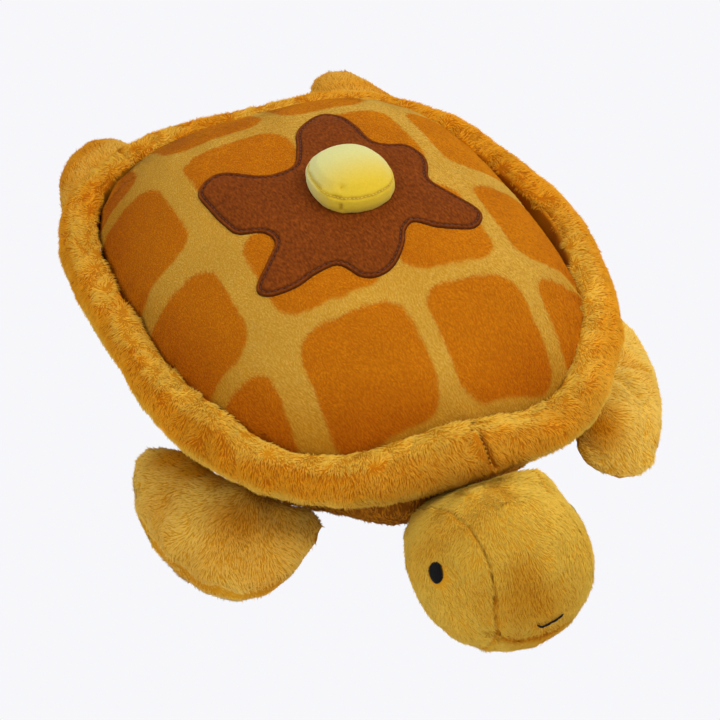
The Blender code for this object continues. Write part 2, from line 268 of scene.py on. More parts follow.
# a cloth bag of the panels' shape, blown up a little between its seams
def stuffed(form, feel, seams=()):
    pickOnly(form)
    form.data.remesh_voxel_size = feel["voxel"]
    bpy.ops.object.voxel_remesh()
    evened(form, feel["smoothing"])
    inset = np.full(len(form.data.vertices), feel["inset"])
    for name in feel.get("padsUnder", ()):
        inset *= smoothStep(3 * mm, 9 * mm, awayFrom(points(form), name))
    push(form, -inset)
    evened(form, 2)
    start = points(form)
    cloth = form.modifiers.new("Cloth", "CLOTH")
    cloth.settings.use_pressure = True
    cloth.settings.uniform_pressure_force = feel["pressure"]
    cloth.settings.effector_weights.gravity = 0
    if seams:
        reach = seamReach(start, seams)
        group = form.vertex_groups.new(name="seams")
        for index in np.flatnonzero(reach < feel["seamWidth"]):
            group.add([int(index)], feel["seamHold"], "REPLACE")
        cloth.settings.vertex_group_mass = "seams"
    for step in range(clothSteps):
        bpy.context.scene.frame_set(step + 1)
    shaped = form.evaluated_get(bpy.context.evaluated_depsgraph_get())
    after = np.zeros(len(start) * 3)
    shaped.data.vertices.foreach_get("co", after)
    moved = after.reshape(-1, 3) - start
    form.modifiers.clear()
    form.vertex_groups.clear()
    bpy.context.scene.frame_set(1)
    far = np.linalg.norm(moved, axis=1, keepdims=True)
    setPoints(form, start + moved * np.minimum(1, feel["cap"] / np.maximum(far, 1e-9)))
    print(form.name, "swelled by at most", round(float(far.max()) / mm, 1), "mm")
    levels = feel.get("levels", 1)
    applied(form, "SUBSURF", levels=levels, render_levels=levels)
    pickOnly(form)
    bpy.ops.object.shade_smooth()
    return form


# a valley along every seam, with small puckers where the thread pulls
def drawSeams(form, reach, depth, width, pucker=0.3):
    ripple = 1 + pucker * waves(points(form), 9 * mm, 5)
    push(form, -depth * np.exp(-(reach / width) ** 2) * ripple)


# at each point, the way in which values rise most, along the skin
def slope(form, values):
    pairs = np.array([tuple(e.vertices) for e in form.data.edges])
    place = points(form)
    step = place[pairs[:, 1]] - place[pairs[:, 0]]
    rise = (values[pairs[:, 1]] - values[pairs[:, 0]])[:, None] * step
    rise /= np.maximum((step ** 2).sum(axis=1, keepdims=True), 1e-12)
    total = np.zeros_like(place)
    for side in (0, 1):
        for axis in range(3):
            total[:, axis] += np.bincount(pairs[:, side], rise[:, axis], len(place))
    return unit(total)


# pile

bakeMap = {"cells": 146, "rows": 124, "strip": 0.15, "edge": 0.0006}


# where a tuft's colours lie on the map for baking: tufts that grow side by side share one small cell
def tuftCells(foot, up, sides):
    low, high = foot.min(axis=0), foot.max(axis=0)
    share = (foot - low) / np.maximum(high - low, 1e-9) * 0.9999
    if sides == 1:
        axis, tile = np.full(len(foot), 2), np.zeros(len(foot), int)
        columns, rows = 1, 1
    else:
        axis = np.argmax(np.abs(up), axis=1)
        tile = axis * 2 + (up[np.arange(len(up)), axis] > 0)
        columns, rows = 3, 2
    first = np.where(axis == 0, share[:, 1], share[:, 0])
    second = np.where(axis == 2, share[:, 1], share[:, 2])
    across, down = bakeMap["cells"] // columns, bakeMap["rows"] // rows
    column = (tile % columns) * across + (first * across).astype(int)
    row = (tile // columns) * down + (second * down).astype(int)
    return column / bakeMap["cells"], bakeMap["strip"] + row / bakeMap["cells"]


# the skin lies in a strip at the foot of the map, and each tuft stands in its cell with its tip up
def addBakeMap(mesh, place, skinCorners, foot, up, sides):
    low, high = place.min(axis=0), place.max(axis=0)
    flat = ((place - low) / np.maximum(high - low, 1e-9))[skinCorners, :2]
    skin = flat * [0.98, 0.12] + 0.01
    column, row = tuftCells(foot, up, sides)
    cell, edge = 1 / bakeMap["cells"], bakeMap["edge"]
    corners = np.stack([np.stack([column + edge, row + edge], axis=1),
                        np.stack([column + cell - edge, row + edge], axis=1),
                        np.stack([column + cell / 2, row + cell - edge], axis=1)], axis=1)
    tufts = np.tile(corners, (1, 3, 1)).reshape(-1, 2)
    layer = mesh.uv_layers.new(name="OFBake")
    layer.data.foreach_set("uv", np.concatenate([skin, tufts]).astype(np.float32).ravel())


# how steeply a tuft rises at least, and how much tufts differ in length and thickness
tuft = {"rise": 0.12, "lengths": (0.7, 1.15), "thickness": (0.8, 1.2), "barren": 0.05}
# how far up a tuft its four colours stand
pileStops = (0.02, 0.18, 0.6, 1.0)


# each tuft is a thin cone with its foot in the fabric, laid over along the comb's way; extra values go with
# the pile to its material, sides says how the map for baking sees the piece, and softShare weakens the
# soft light
def growPile(form, pile, comb, length, tone, extra=None, sides=6, softShare=None):
    mesh = form.data
    mesh.calc_loop_triangles()
    corner = np.zeros(len(mesh.loop_triangles) * 3, np.int64)
    mesh.loop_triangles.foreach_get("vertices", corner)
    corner = corner.reshape(-1, 3)
    place, normal = points(form), normals(form)
    a, b, c = place[corner[:, 0]], place[corner[:, 1]], place[corner[:, 2]]
    area = np.linalg.norm(np.cross(b - a, c - a), axis=1) / 2
    wanted = area * (length[corner].mean(axis=1) > tuft["barren"])
    rng = np.random.default_rng(pile["seed"])
    count = int(wanted.sum() * 1e4 * pile["perSquareCm"])
    chosen = corner[rng.choice(len(corner), count, p=wanted / wanted.sum())]
    u, v = np.sqrt(rng.random(count)), rng.random(count)
    weight = np.stack([1 - u, u * (1 - v), u * v], axis=1)

    def onSkin(values):
        if values.ndim == 1:
            return (values[chosen] * weight).sum(axis=1)
        return (values[chosen] * weight[:, :, None]).sum(axis=1)

    foot, up = onSkin(place), unit(onSkin(normal))
    wander = np.stack([waves(foot, pile["clump"], pile["seed"] + k) for k in (1, 2, 3)], axis=1)
    lean = unit(onSkin(comb)) + wander * pile["swirl"]
    lean = unit(lean - up * (lean * up).sum(axis=1, keepdims=True))
    way = unit(lean + up * pile["lift"] + rng.normal(size=(count, 3)) * pile["stray"])
    way = unit(way + up * np.maximum(0, tuft["rise"] - (way * up).sum(axis=1, keepdims=True)))
    long = onSkin(length) * pile["length"] * rng.uniform(*tuft["lengths"], count)
    side = unit(np.cross(way, up + 0.3 * rng.normal(size=(count, 3))))
    other = np.cross(way, side)
    foot = foot - up * pile["sunk"]
    thick = pile["width"] / 2 * rng.uniform(*tuft["thickness"], count)
    rays = [side * math.cos(t) + other * math.sin(t) for t in (-math.pi / 2, math.pi / 6, math.pi * 5 / 6)]
    tip = foot + way * (long + pile["sunk"])[:, None]
    grown = np.stack([*[foot + ray * thick[:, None] for ray in rays], tip], axis=1).reshape(-1, 3)
    start = len(place)
    first = start + 4 * np.arange(count)
    faces = np.stack([first, first + 1, first + 3, first + 1, first + 2, first + 3,
                      first + 2, first, first + 3], axis=1).reshape(-1, 3)
    base = [tuple(p.vertices) for p in mesh.polygons]
    skinCorners = np.concatenate([np.array(p) for p in base])
    fuzzy = bpy.data.meshes.new(form.name)
    everywhere = np.concatenate([place, grown])
    fuzzy.vertices.add(len(everywhere))
    fuzzy.vertices.foreach_set("co", everywhere.astype(np.float32).ravel())
    sizes = np.concatenate([[len(p) for p in base], np.full(len(faces), 3)])
    loops = np.concatenate([skinCorners, faces.ravel()])
    fuzzy.loops.add(len(loops))
    fuzzy.loops.foreach_set("vertex_index", loops.astype(np.int32))
    fuzzy.polygons.add(len(sizes))
    fuzzy.polygons.foreach_set("loop_start", (np.cumsum(sizes) - sizes).astype(np.int32))
    fuzzy.update(calc_edges=True)
    fuzzy.polygons.foreach_set("use_smooth", np.ones(len(sizes), bool))
    addBakeMap(fuzzy, place, skinCorners, foot, up, sides)
    # a tuft takes most of its light as the skin under it does, as soft pile does
    soft = pile["soft"] * (np.ones((count, 1)) if softShare is None else onSkin(softShare)[:, None])
    own = [unit(up * soft + ray * (1 - soft)) for ray in rays] + [unit(up * soft + way * (1 - soft))]
    lit = np.concatenate([normal, np.stack(own, axis=1).reshape(-1, 3)])
    fuzzy.normals_split_custom_set_from_vertices(lit.astype(np.float32))
    form.data = fuzzy
    addAttribute(form, "along", np.concatenate([np.zeros(start), np.tile([0.2, 0.2, 0.2, 1.0], count)]))
    addAttribute(form, "shade", np.concatenate([np.zeros(start), np.repeat(rng.normal(0, 1, count), 4)]))
    addAttribute(form, "tone", np.concatenate([tone, np.repeat(onSkin(tone), 4)]))
    for name, values in (extra or {}).items():
        addAttribute(form, name, np.concatenate([values, np.repeat(onSkin(values), 4)]))
    print(form.name, count, "tufts,", len(sizes), "faces")
    return form


# materials

def nodesOf(material):
    material.use_nodes = True
    return material.node_tree.nodes, material.node_tree.links


def setShader(material, roughness, specular=0.05):
    nodes, links = nodesOf(material)
    shader = nodes["Principled BSDF"]
    shader.inputs["Roughness"].default_value = roughness
    shader.inputs["Specular IOR Level"].default_value = specular
    return nodes, links, shader


def mixNode(nodes, links, mode, factor, first, second):
    mix = nodes.new("ShaderNodeMix")
    mix.data_type = "RGBA"
    mix.blend_type = mode
    for socket, value in ((mix.inputs[0], factor), (mix.inputs[6], first), (mix.inputs[7], second)):
        if hasattr(value, "is_output"):
            links.new(value, socket)
        else:
            socket.default_value = value
    return mix.outputs[2]


def rampNode(nodes, links, source, stops):
    ramp = nodes.new("ShaderNodeValToRGB")
    while len(ramp.color_ramp.elements) < len(stops):
        ramp.color_ramp.elements.new(0.5)
    for element, (place, colour) in zip(ramp.color_ramp.elements, stops):
        element.position = place
        element.color = (*colour, 1)
    links.new(source, ramp.inputs[0])
    return ramp.outputs[0]


def attributeNode(nodes, name):
    node = nodes.new("ShaderNodeAttribute")
    node.attribute_name = name
    return node.outputs["Fac"]


def noiseNode(nodes, links, scale, detail=3.0, stretch=(1, 1, 1)):
    where = nodes.new("ShaderNodeTexCoord")
    turned = nodes.new("ShaderNodeMapping")
    turned.inputs["Scale"].default_value = stretch
    noise = nodes.new("ShaderNodeTexNoise")
    noise.inputs["Scale"].default_value = scale
    noise.inputs["Detail"].default_value = detail
    links.new(where.outputs["Object"], turned.inputs["Vector"])
    links.new(turned.outputs[0], noise.inputs["Vector"])
    return noise.outputs[0]


def addBump(nodes, links, shader, height, strength, distance):
    bump = nodes.new("ShaderNodeBump")
    bump.inputs["Strength"].default_value = strength
    bump.inputs["Distance"].default_value = distance
    links.new(height, bump.inputs["Height"])
    links.new(bump.outputs[0], shader.inputs["Normal"])


def linear(colour):
    return tuple(((c / 255 + 0.055) / 1.055) ** 2.4 if c > 10 else c / 255 / 12.92 for c in colour)


# colours from the skin between the tufts, over their feet and middles, to their tips; the darker skin and
# feet are painted shade between the tufts
def pileRamp(nodes, links, along, colours):
    return rampNode(nodes, links, along, list(zip(pileStops, map(linear, colours))))


def patchy(nodes, links, colour, scale, low, high, uneven):
    patch = rampNode(nodes, links, noiseNode(nodes, links, scale), [(0.3, (low,) * 3), (0.7, (high,) * 3)])
    colour = mixNode(nodes, links, "MULTIPLY", 1.0, colour, patch)
    spread = nodes.new("ShaderNodeMapRange")
    links.new(attributeNode(nodes, "shade"), spread.inputs[0])
    for socket, value in zip(spread.inputs[1:5], (-2, 2, 1 - uneven, 1 + uneven)):
        socket.default_value = value
    return mixNode(nodes, links, "MULTIPLY", 1.0, colour, spread.outputs[0])


# pale golden pile with deep orange parts, by the tone at each point, which in places also carries painted
# shade
def plushMaterial(name, look):
    material = bpy.data.materials.new(name)
    nodes, links, shader = setShader(material, look["roughness"])
    along = attributeNode(nodes, "along")
    pale, deep = (pileRamp(nodes, links, along, look.get(part, look["pale"])) for part in ("pale", "deep"))
    colour = mixNode(nodes, links, "MIX", attributeNode(nodes, "tone"), pale, deep)
    colour = patchy(nodes, links, colour, look["patchScale"], 0.9, 1.05, look["uneven"])
    links.new(colour, shader.inputs["Base Color"])
    return material


def wear(form, material):
    form.data.materials.clear()
    form.data.materials.append(material)


def finished(form, body, nodes):
    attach(form, body)
    if nodes:
        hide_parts(*nodes)
    print(form.name, "is done")


# thread

# short stitches of thread along a line that lies on cloth
def threadStitches(path, ups, long, gap, thick, rise):
    corners, faces = [], []
    gone = np.concatenate([[0], np.cumsum(np.linalg.norm(np.diff(path, axis=0), axis=1))])
    shares = np.linspace(0, 1, 5)
    for start in np.arange(0, max(gone[-1] - long / 2, 1e-6), long + gap):
        at = start + shares * min(long, gone[-1] - start)
        middle = np.stack([np.interp(at, gone, path[:, k]) for k in range(3)], axis=1)
        up = unit(np.stack([np.interp(at, gone, ups[:, k]) for k in range(3)], axis=1))
        middle += up * (rise * np.sin(shares * math.pi))[:, None]
        ahead = unit(np.gradient(middle, axis=0))
        side = unit(np.cross(ahead, up))
        over = np.cross(side, ahead)
        first = len(corners)
        for m, s, o, share in zip(middle, side, over, (0.45, 0.95, 1, 0.95, 0.45)):
            for turn in range(6):
                angle = turn * math.pi / 3
                corners.append(m + (s * math.cos(angle) + o * math.sin(angle)) * share * thick / 2)
        for ring in range(first, first + 24, 6):
            for turn in range(6):
                after = (turn + 1) % 6
                faces.append((ring + turn, ring + 6 + turn, ring + 6 + after, ring + after))
        faces.append(tuple(range(first, first + 6)))
        faces.append(tuple(reversed(range(first + 24, first + 30))))
    return corners, faces


def threadForm(name, rows, material):
    corners, faces = [], []
    for rowCorners, rowFaces in rows:
        faces += [tuple(len(corners) + i for i in face) for face in rowFaces]
        corners += rowCorners
    form = newForm(name, corners, faces)
    pickOnly(form)
    bpy.ops.object.shade_smooth()
    wear(form, material)
    return form


def threadMaterial(name, dark, light, roughness=0.5, specular=0.3):
    material = bpy.data.materials.new(name)
    nodes, links, shader = setShader(material, roughness, specular)
    twist = noiseNode(nodes, links, 900.0)
    colour = rampNode(nodes, links, twist, [(0.3, linear(dark)), (0.7, linear(light))])
    links.new(colour, shader.inputs["Base Color"])
    addBump(nodes, links, shader, twist, 0.4, 0.2 * mm)
    return material


# the nearest places of a skin to a line, and its normals there, for thread that lies on it
def upFrom(tree, path):
    found = [tree.find_nearest(Vector(p)) for p in path]
    return np.array([f[0] for f in found]), np.array([f[1] for f in found])


# the shell: a printed dome and a plain belly

shell = {
    "feel": {"voxel": 5 * mm, "inset": 0.2 * mm, "smoothing": 8, "pressure": 2.0, "cap": 2 * mm},
    "pile": {"seed": 11, "perSquareCm": 158, "length": 2.1 * mm, "width": 0.62 * mm, "lift": 0.22,
             "clump": 30 * mm, "swirl": 0.12, "stray": 0.1, "sunk": 0.2 * mm, "soft": 0.8},
    # the pale lines between the cells, from the shell's middle, as (low edge, high edge)
    "linesAcross": [(-99, -80), (-6.5, 6), (73, 86)],
    "linesAlong": [(-110, -97), (-18, 4), (86, 101)],
    "reach": [(-170, 170), (-181, 172)],
    "corner": 17,
    "line": [(168, 120, 30), (195, 149, 54), (214, 171, 78)],
    "cell": [(154, 82, 2), (187, 109, 6), (206, 128, 20)],
    # gathers where the cloth is drawn in at the rim: pixels, depth and width
    "gathers": [([(566, 317), (572, 340)], 1.3, 2.2), ([(577, 325), (575, 346)], 1.1, 2.2),
                ([(545, 318), (556, 345)], 0.8, 3.5), ([(262, 437), (264, 444), (267, 452)], 1.8, 2.4),
                ([(410, 466), (414, 478)], 0.7, 2.4), ([(116, 300), (128, 308)], 0.7, 3.0)],
    # painted shade: the dome's print is tinted deeper towards its foot beside the roll, by this tint and
    # strength, fading out between these heights over the roll's top
    "ripple": 0.5 * mm, "paintedShadeTint": (0.8, 0.62, 0.25, 1), "lowShade": 0.8, "lowShadeHeight": (-2 * mm, 38 * mm),
    "roughness": 0.9, "comb": (0.12, -0.9, -0.1), "bellyComb": (0, 0, -0.4),
    "bellyShare": 0.35,  # the share of the belly's faces that is kept
    # where the dome's corner lies further in, and the belly further in or out: pixel, size and amount
    "cornersIn": [(606, 350, 40, -6.0)],
    "drawnIn": [(322, 506, 40, -8.0), (300, 500, 40, -5.0), (396, 506, 30, 15.0)],
    "bellyPile": {"seed": 12, "perSquareCm": 24, "length": 3 * mm, "width": 1.4 * mm, "lift": 0.4,
                  "clump": 14 * mm, "swirl": 0.2, "stray": 0.2, "sunk": 0.5 * mm, "soft": 0.7},
    "belly": {"pale": [(120, 66, 6), (160, 92, 10), (180, 112, 20), (200, 136, 44)],
              "patchScale": 30.0, "uneven": 0.12, "roughness": 0.9},
}


def cellShare(places):
    flat = (places[:, :2] - shellMiddle) / mm
    bounds = []
    for axis, lines in enumerate((shell["linesAcross"], shell["linesAlong"])):
        low, high = shell["reach"][axis]
        edges = [low, *[x for line in lines for x in line], high]
        bounds.append(list(zip(edges[0::2], edges[1::2])))
    best = np.full(len(flat), 1e3)
    radius = shell["corner"]
    for x0, x1 in bounds[0]:
        for y0, y1 in bounds[1]:
            half = np.array([x1 - x0, y1 - y0]) / 2 - radius
            away = np.abs(flat - np.array([x0 + x1, y0 + y1]) / 2) - half
            outside = np.linalg.norm(np.maximum(away, 0), axis=1)
            inside = np.minimum(away.max(axis=1), 0)
            best = np.minimum(best, outside + inside - radius)
    best += 0.3 * waves(places, 12 * mm, 31)
    return 1 - smoothStep(-0.6, 0.8, best)


def waffleMaterial():
    material = bpy.data.materials.new("waffle_print")
    nodes, links, shader = setShader(material, shell["roughness"])
    along = attributeNode(nodes, "along")
    # line and cell colours darken from the tips to the skin: painted shade between the tufts
    stops = (0.0, 0.3, 1.0)
    line, cell = (rampNode(nodes, links, along, list(zip(stops, map(linear, shell[part]))))
                  for part in ("line", "cell"))
    colour = mixNode(nodes, links, "MIX", attributeNode(nodes, "cell"), line, cell)
    colour = patchy(nodes, links, colour, 14.0, 0.95, 1.05, 0.06)
    # where the tone is high the print is tinted deeper: painted shade at the dome's foot beside the roll,
    # with some random unevenness
    tinted = mixNode(nodes, links, "MULTIPLY", 1.0, colour, shell["paintedShadeTint"])
    colour = mixNode(nodes, links, "MIX", attributeNode(nodes, "tone"), colour, tinted)
    links.new(colour, shader.inputs["Base Color"])
    return material


def cutAt(form, height, keepUpper):
    edited(form, bpy.ops.mesh.bisect, plane_co=(0, 0, height), plane_no=(0, 0, 1), use_fill=True,
           clear_inner=keepUpper, clear_outer=not keepUpper)


skins = {}  # the skins on which thread and patches lie


def makeShell():
    rimLow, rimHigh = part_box("rim_cover")
    waist = (rimLow.z + rimHigh.z) / 2
    copied = joinedCopy("shell_cushion", ["shell_cover", "belly_panel", "body_filling"])
    cushion = stuffed(copied, shell["feel"])
    refined(cushion, shell["gathers"])
    fold(cushion, shell["gathers"])
    place = points(cushion)
    place += unit(place * [1, 1, 0]) * spots(cushion, shell["cornersIn"])[:, None]
    low = 1 - smoothStep(rimHigh.z, rimHigh.z + 26 * mm, place[:, 2])
    angle = np.arctan2(place[:, 1], place[:, 0])
    wrinkle = np.sin(angle * 31 + 2 * waves(place, 90 * mm, 6)) * waves(place, 70 * mm, 8)
    setPoints(cushion, place + normals(cushion) * (shell["ripple"] * low * wrinkle)[:, None])
    skins["dome"] = treeOf(cushion.data)
    belly = linked("belly", cushion.data.copy())
    cutAt(cushion, waist, True)
    cutAt(belly, waist, False)
    applied(belly, "DECIMATE", ratio=shell["bellyShare"])
    place = points(cushion)
    length = np.where(np.abs(place[:, 2] - waist) < 0.2 * mm, 0.0, 1.0)
    loop = syrupLoop()
    length[insideLoop(place[:, :2], loop) & (fromOutline(place[:, :2], loop) > 2 * mm)] = 0
    comb = np.tile(shell["comb"], (len(place), 1))
    # the tone is painted shade at the dome's foot beside the roll, with some random unevenness
    shadeFrom, shadeTo = (rimHigh.z + rise for rise in shell["lowShadeHeight"])
    near = shell["lowShade"] * (1 - smoothStep(shadeFrom, shadeTo, place[:, 2]))
    growPile(cushion, shell["pile"], comb, length, np.clip(near + 0.12 * waves(place, 90 * mm, 7), 0, 1),
             extra={"cell": cellShare(place)}, sides=1)
    wear(cushion, waffleMaterial())
    finished(cushion, "body", ["shell_cover", "body_filling"])
    outward = unit(points(belly) * [1, 1, 0])
    setPoints(belly, points(belly) + outward * spots(belly, shell["drawnIn"])[:, None])
    place = points(belly)
    length = np.where(np.abs(place[:, 2] - waist) < 0.2 * mm, 0.0, 1.0)
    length *= 0.35 + 0.65 * smoothStep(2 * mm, 12 * mm, place[:, 2])
    out = unit(place * [1, 1, 0])
    combed = out * 0.6 + np.array(shell["bellyComb"])
    growPile(belly, shell["bellyPile"], combed, length, np.zeros(len(place)))
    wear(belly, plushMaterial("belly_pile", shell["belly"]))
    finished(belly, "body", ["belly_panel"])


# the rim: a long-piled roll round the shell

rim = {
    "feel": {"voxel": 4 * mm, "inset": 1.5 * mm, "smoothing": 6, "pressure": 3.0, "cap": 2 * mm},
    "pile": {"seed": 21, "perSquareCm": 142, "length": 4.2 * mm, "width": 0.9 * mm, "lift": 0.3,
             "clump": 18 * mm, "swirl": 0.34, "stray": 0.11, "sunk": 0.6 * mm, "soft": 0.7},
    "look": {"pale": [(174, 112, 14), (204, 144, 30), (216, 164, 48), (230, 188, 84)],
             "deep": [(158, 82, 0), (192, 104, 0), (210, 130, 6), (226, 162, 44)],
             "patchScale": 26.0, "uneven": 0.12, "roughness": 0.9},
    # the roll's closing seam, and folds further round: pixels, depth and width
    "folds": [([(470, 428), (478, 431), (485, 444), (490, 456), (495, 467), (494, 475)], 4.2, 1.8),
              ([(474, 436), (481, 448), (486, 460), (489, 470)], -1.6, 3.2),
              ([(78, 240), (84, 245), (90, 252)], 1.8, 2.6), ([(136, 149), (142, 157)], 1.6, 2.4),
              ([(110, 178), (102, 186)], 1.0, 3.0)],
    # paler parts: pixel, size and strength
    "paler": [(455, 455, 40, 0.5), (505, 430, 30, 0.35), (400, 478, 35, 0.25), (600, 390, 40, 0.3)],
    "stitched": [(480, 439), (484, 448), (488, 458), (490, 465)],
    # a stitch is its length, gap, thickness and rise
    "stitchLift": 0.7 * mm, "stitch": (1.6 * mm, 1.5 * mm, 1.1 * mm, 0.2 * mm),
    # swellings and dents of the stuffing: height, size and seed
    "bumps": [(0.5 * mm, 60 * mm, 3), (0.2 * mm, 18 * mm, 4)],
    "comb": (0.1, -0.15, -0.5), "pressIn": 2.6 * mm,
    # where the roll is fuller towards the dome, where the head lifts it, and where it lies further out or in:
    # pixel, size and amount
    "fuller": [(150, 350, 45, 5), (208, 422, 45, 6), (400, 462, 45, 5), (480, 445, 45, 8), (555, 402, 45, 10),
               (600, 335, 45, 6), (100, 234, 50, 9), (560, 215, 70, 2)],
    "lifted": [(455, 478, 52, 5.5), (535, 440, 40, 1)],
    "further": [(68, 200, 40, 3.5), (112, 350, 55, -2.5), (560, 190, 90, -1.0), (612, 290, 35, -3.5),
                (622, 362, 42, -8.0), (418, 106, 45, -4.0), (245, 110, 35, -2.5), (556, 220, 40, 6.0),
                (530, 192, 36, 5.0), (82, 250, 60, 1.0)],
}


def makeRim():
    roll = stuffed(joinedCopy("rim_roll", ["rim_cover", "rim_filling"]), rim["feel"])
    refined(roll, rim["folds"])
    place, normal = points(roll), normals(roll)
    out = unit((place - [*shellMiddle, 0]) * [1, 1, 0])
    facing = (normal * out).sum(axis=1)
    bumps = sum(high * waves(place, size, seed) for high, size, seed in rim["bumps"])
    bumps += rim["pressIn"] * smoothStep(0.3, 0.8, -facing)
    place = place + normal * bumps[:, None]
    inUp = unit(np.array([0, 0, 0.8]) - out * 0.6)
    fuller, lifted, further = (spots(roll, rim[kind]) for kind in ("fuller", "lifted", "further"))
    place += inUp * (fuller * smoothStep(-0.3, 0.6, (normal * inUp).sum(axis=1)))[:, None]
    place += np.array([0, 0, 1]) * lifted[:, None] + out * further[:, None]
    setPoints(roll, place)
    parted = fold(roll, rim["folds"])
    skin = treeOf(roll.data)
    line, ups = upFrom(skin, underPixels(roll, rim["stitched"]))
    place, normal = points(roll), normals(roll)
    out = unit((place - [*shellMiddle, 0]) * [1, 1, 0])
    facing = (normal * out).sum(axis=1)
    length = np.where(facing < -0.75, 0.0, 0.5 + 0.5 * smoothStep(0.3 * mm, 3 * mm, parted))
    comb = out * 0.25 + np.array(rim["comb"])
    comb = comb + slope(roll, parted) * (0.3 * np.exp(-parted / (3 * mm)))[:, None]
    comb -= out * (1.3 * smoothStep(0.1, 0.7, -normal[:, 2]))[:, None]
    # the tone: deep orange on the roll's upward faces, pale below, on much of its top strip, on the paler
    # parts and on the front's inner face; the deep tone kept on the inner face further round is partly
    # painted shade from the dome
    up = normal[:, 2] + 0.08 * waves(place, 30 * mm, 9)
    paleTop = 0.7 * smoothStep(0.7, 0.1, out[:, 0]) * smoothStep(0.85, 1.0, up)
    tone = smoothStep(-0.15, 0.35, up) * (1 - paleTop)
    tone *= 1 - 0.9 * smoothStep(0.25, -0.15, facing) * smoothStep(0.1, -0.5, out[:, 1])
    tone *= 1 - patchShare(roll, rim["paler"])
    soft = 0.4 + 0.6 * smoothStep(0.5 * mm, 4 * mm, parted)
    growPile(roll, rim["pile"], comb, length, np.clip(0.92 * tone, 0, 1), softShare=soft)
    wear(roll, plushMaterial("rim_pile", rim["look"]))
    finished(roll, "body", ["rim_cover", "rim_filling"])
    thread = threadMaterial("rim_thread", (84, 46, 6), (112, 66, 12), 0.8, 0.05)
    rows = [threadStitches(line + ups * rim["stitchLift"], ups, *rim["stitch"])]
    seam = threadForm("rim_stitches", rows, thread)
    finished(seam, "body", [])


# the head: a ball of four panels with a stitched face

head = {
    "panels": ["head_right_panel", "head_left_panel", "head_centre_panel", "head_chin_panel"],
    "feel": {"voxel": 5 * mm, "inset": 1.3 * mm, "smoothing": 8, "pressure": 4.0, "cap": 3 * mm, "levels": 2,
             "seamWidth": 3 * mm, "seamHold": 0.8, "padsUnder": ("eye_right", "eye_left", "mouth")},
    "seamDepth": 1.7 * mm, "seamSpread": 0.85 * mm, "seamShade": 0.45, "seamAcross": 5 * mm, "seamUp": 4 * mm,
    "neckRise": 12 * mm, "comb": (0, 0, -0.6),
    # where the neck fills out under the roll: place, size and move in mm
    "neck": [((30, -222, 80), 27, (5.5, 2, 6)), ((34, -215, 82), 17, (2.2, 1, 3.2))],
    "further": [(505, 645, 34, -3.0), (582, 575, 32, 2.6), (556, 492, 20, -1.6)],
    "pile": {"seed": 31, "perSquareCm": 170, "length": 4.2 * mm, "width": 0.8 * mm, "lift": 0.24,
             "clump": 30 * mm, "swirl": 0.26, "stray": 0.1, "sunk": 0.5 * mm, "soft": 0.75},
    "look": {"pale": [(182, 128, 26), (204, 152, 40), (214, 168, 54), (228, 190, 84)],
             "deep": [(154, 90, 4), (182, 112, 10), (200, 136, 22), (216, 158, 48)],
             "patchScale": 18.0, "uneven": 0.07, "roughness": 0.9},
    # browner parts of the muzzle and along its seam, and, last, painted shadow under the roll at the head's
    # upper left: pixel, size and strength
    "patches": [(540, 600, 22, 0.75), (520, 606, 16, 0.7), (552, 632, 14, 0.9), (576, 637, 13, 0.9),
                (575, 600, 14, 0.5), (528, 640, 12, 0.8), (486, 612, 9, 0.5),
                (482, 590, 8, 0.4), (562, 624, 10, 1.0), (542, 634, 11, 1.0), (516, 637, 10, 0.9),
                # painted shadow under the roll
                (440, 535, 24, 0.45)],
    "mouth": [(536.6, 623.5), (541.5, 625), (547.5, 622), (555, 618), (561.5, 612.8)],
}


# the seams follow the picture's: the cut panels' own, drawn a little across and up on the near side
def headSeams(form):
    right, up, _ = (np.array(axis) for axis in cameraAxes())
    place = points(form)
    flat = place - np.array(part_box("head_filling")).mean(axis=0)
    low = smoothStep(12 * mm, -34 * mm, flat @ up)
    near = smoothStep(34 * mm, 8 * mm, flat @ right)
    moved = place + np.outer(low * near * head["seamAcross"], right) - np.outer(low * head["seamUp"], up)
    return seamReach(moved, head["panels"])


# the frame of an embroidered eye on the skin: its middle, and its ways out, along and across
def eyeFrame(name):
    eye = face[name]
    right, up, _ = (np.array(axis) for axis in cameraAxes())
    if "pixel" in eye:
        middle = underPixels(bpy.data.objects["head_ball"], [eye["pixel"]])[0]
    else:
        inside = np.array(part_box("head_filling")).mean(axis=0)
        middle = points(frame["nodes"][name]).mean(axis=0)
        middle = inside + (middle - inside) @ turnAbout((0, 0, 1), eye["around"]).T
    hit, out, _, _ = skins["head"].find_nearest(Vector(middle))
    middle, out = np.array(hit), np.array(out)
    long = up * math.cos(eye["turn"]) + right * math.sin(eye["turn"])
    long = unit(long - out * (long @ out))
    return middle, out, long, np.cross(out, long)


def turnAbout(axis, degrees):
    return np.array(Matrix.Rotation(math.radians(degrees), 3, Vector(axis)))


def eyeShare(places, name):
    middle, out, long, short = eyeFrame(name)
    flat = places - middle
    high, wide = face["size"]
    near = np.linalg.norm(flat, axis=1) < 25 * mm
    return np.where(near, np.sqrt((flat @ long / high) ** 2 + (flat @ short / wide) ** 2), 9)


